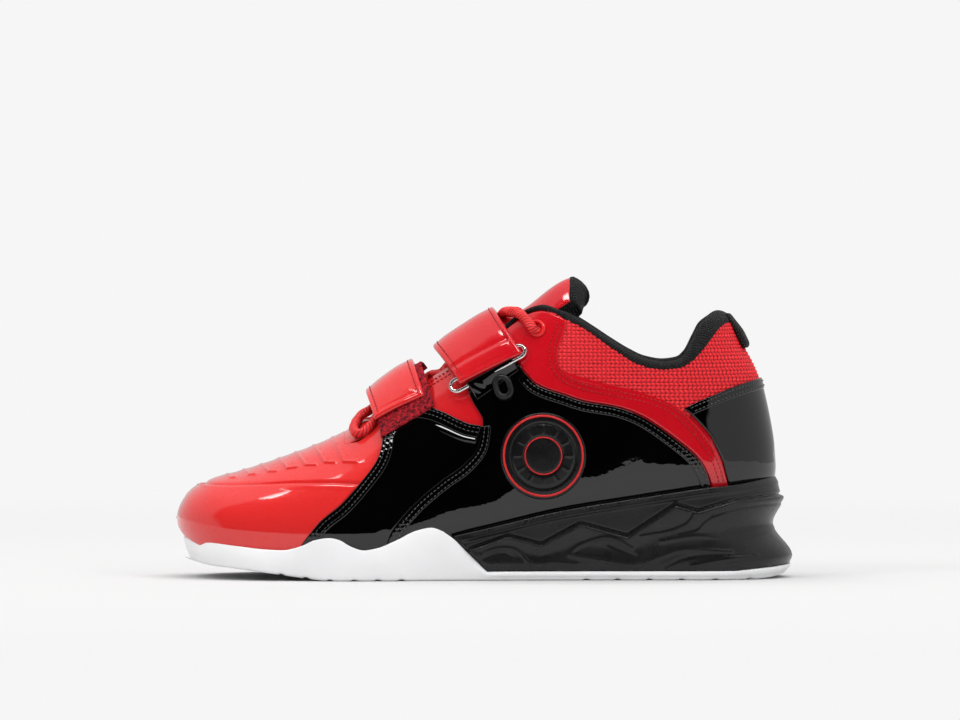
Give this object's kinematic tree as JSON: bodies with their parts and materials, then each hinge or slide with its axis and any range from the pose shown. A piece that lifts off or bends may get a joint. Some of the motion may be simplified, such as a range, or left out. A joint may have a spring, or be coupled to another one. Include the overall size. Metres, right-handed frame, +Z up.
{
  "type": "weightlifting shoe",
  "caption": "Left weightlifting shoe with a raised hard heel, glossy red and black upper, laced throat and two closing straps over the instep.",
  "frame": {"origin": "middle of the footprint's bounding box, on the floor under the tread", "axes": "+X from the toe to the heel, -Y to the outer (lateral) side, +Z up; the sole's flat forefoot and heel stand on Z = 0"},
  "size_m": [0.2968, 0.1092, 0.1428],
  "materials": {
    "red_patent": "high gloss patent",
    "black_patent": "high gloss patent",
    "red_mesh": "coarse woven mesh",
    "black_knit": "matt padded knit",
    "white_rubber": "smooth satin",
    "heel_plastic": "moulded satin gloss",
    "badge_rubber": "soft matt",
    "red_loop": "fuzzy loop pile",
    "ring_metal": "polished",
    "eyelet": "smooth",
    "red_lace": "ribbed braid"
  },
  "bodies": {
    "root": {"outsole": "white_rubber", "heel_wedge": "heel_plastic", "insole": "black_knit", "upper": "red_patent", "mid_panel_outer": "black_patent", "mid_panel_inner": "black_patent", "rear_panel_outer": "black_patent", "rear_panel_inner": "black_patent", "eyestay_outer": "red_patent", "eyestay_inner": "red_patent", "heel_counter": "black_patent", "badge": "badge_rubber", "collar": "black_knit", "heel_tab": "black_knit", "tongue": "red_patent", "lower_strap": "red_patent", "loop_strip": "red_loop", "upper_strap": "red_patent", "strap_ring": "ring_metal", "ring_tab": "black_patent", "lace_keeper": "heel_plastic", "eyelet_outer": "eyelet", "eyelet_inner": "eyelet", "laces": "red_lace"}
  },
  "joints": []
}
